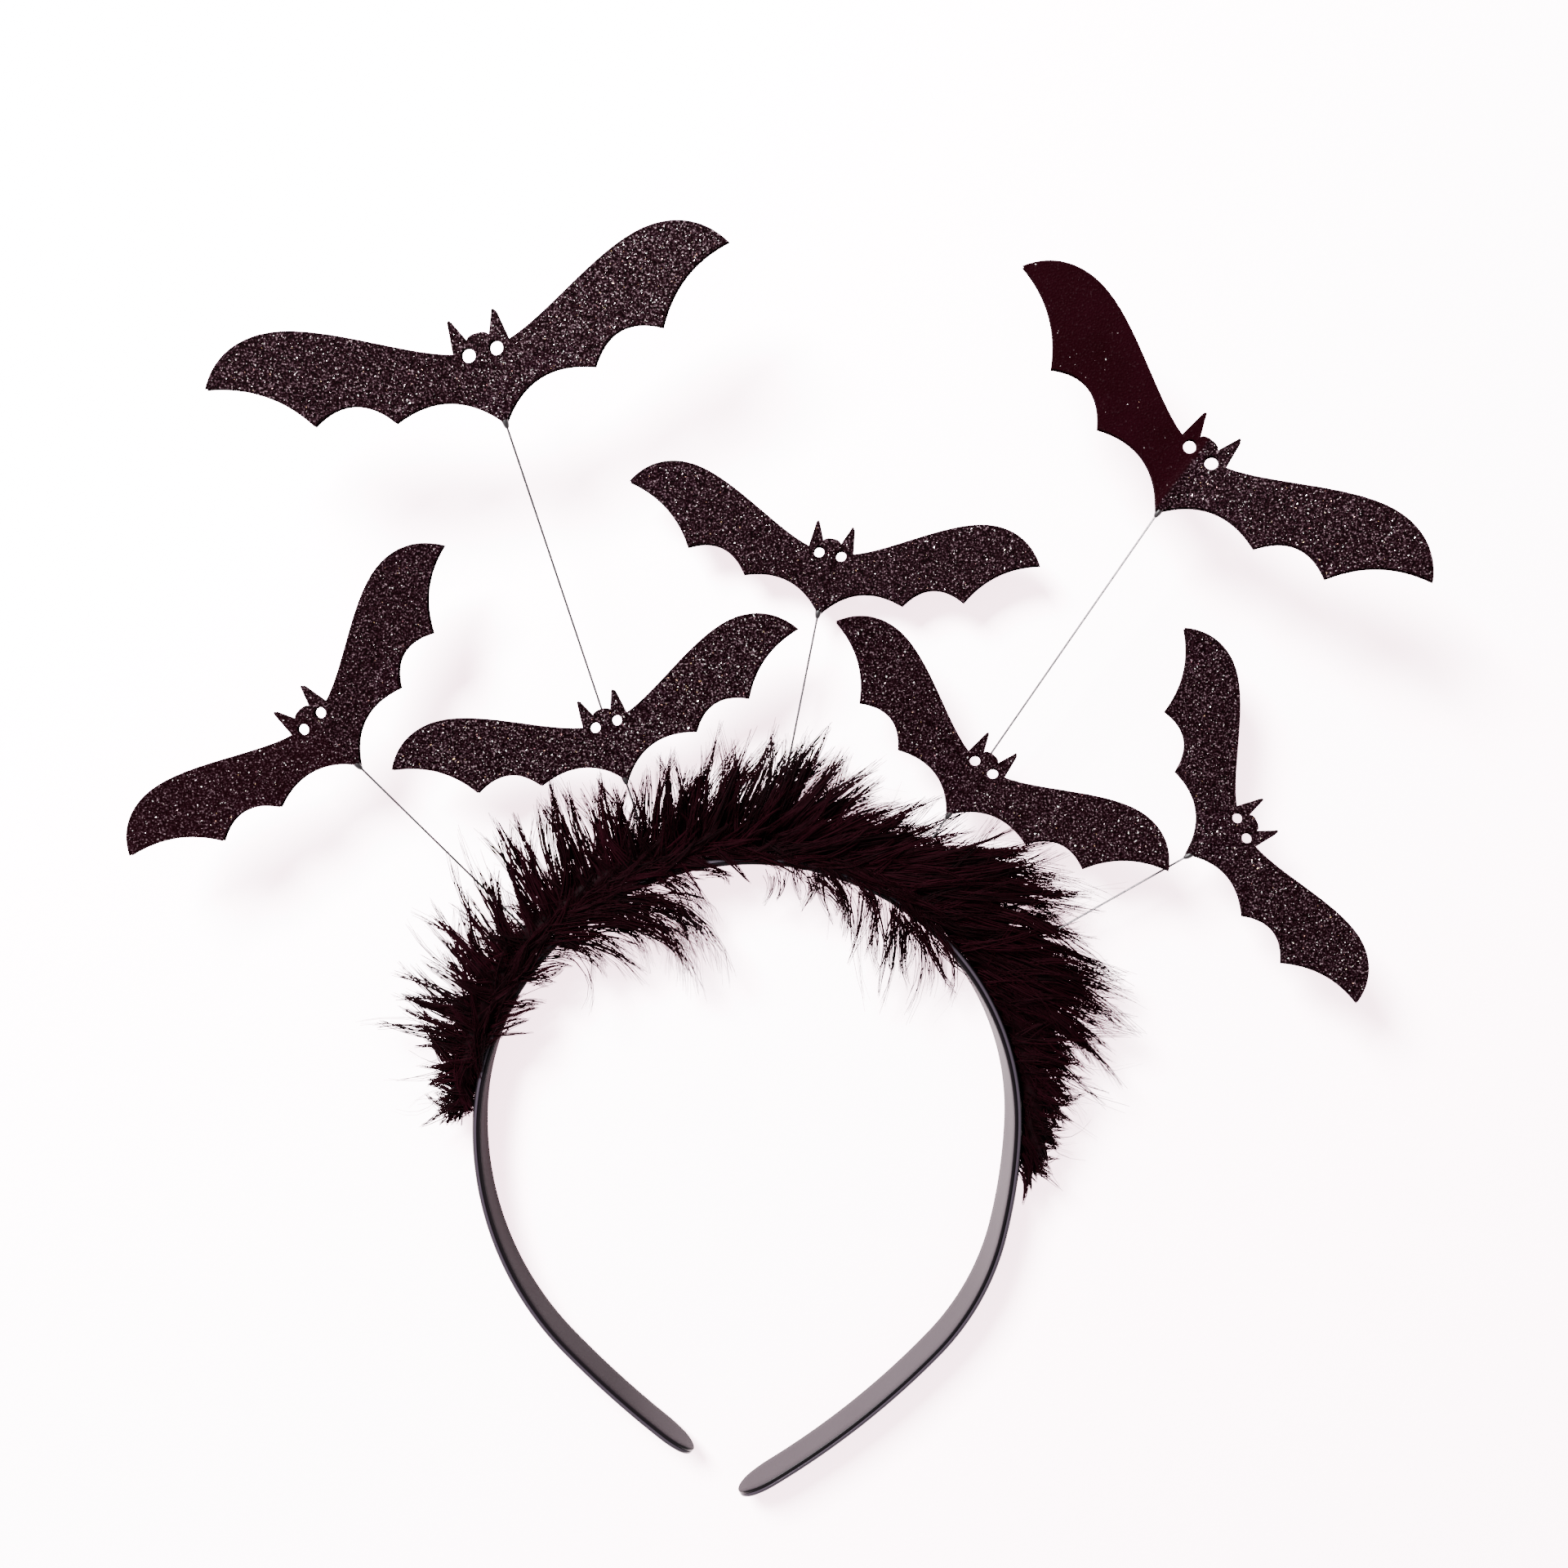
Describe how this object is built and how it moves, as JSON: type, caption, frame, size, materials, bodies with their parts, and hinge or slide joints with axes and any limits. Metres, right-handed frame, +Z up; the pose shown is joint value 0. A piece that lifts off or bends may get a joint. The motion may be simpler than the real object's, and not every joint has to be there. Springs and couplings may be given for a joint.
{
  "type": "bat headband",
  "caption": "Costume headband: a curved plastic band trimmed with feathers, with glittering card bats on thin straight wires.",
  "frame": {"origin": "on the resting edge of the band, under its crown, at the middle of its thickness", "axes": "+Z up from the surface the headband lies on, +Y from the band's open ends to its crown, +X to the right seen from above"},
  "size_m": [0.2768, 0.2876, 0.0367],
  "materials": {
    "band_plastic": "black plastic, satin on the inner face and glossy on the outer one",
    "feather": "soft black feather barbs with a faint plum cast",
    "wire": "bright drawn wire",
    "glitter_card": "black card with fine pale glitter"
  },
  "bodies": {
    "root": {"headband": "band_plastic", "feather_trim": "feather", "wire_upper_left": "wire", "wire_upper_right": "wire", "wire_left": "wire", "wire_top": "wire", "wire_right": "wire", "bat_upper_left": "glitter_card", "bat_upper_right": "glitter_card", "bat_left": "glitter_card", "bat_top": "glitter_card", "bat_middle_left": "glitter_card", "bat_middle_right": "glitter_card", "bat_right": "glitter_card"}
  },
  "joints": []
}
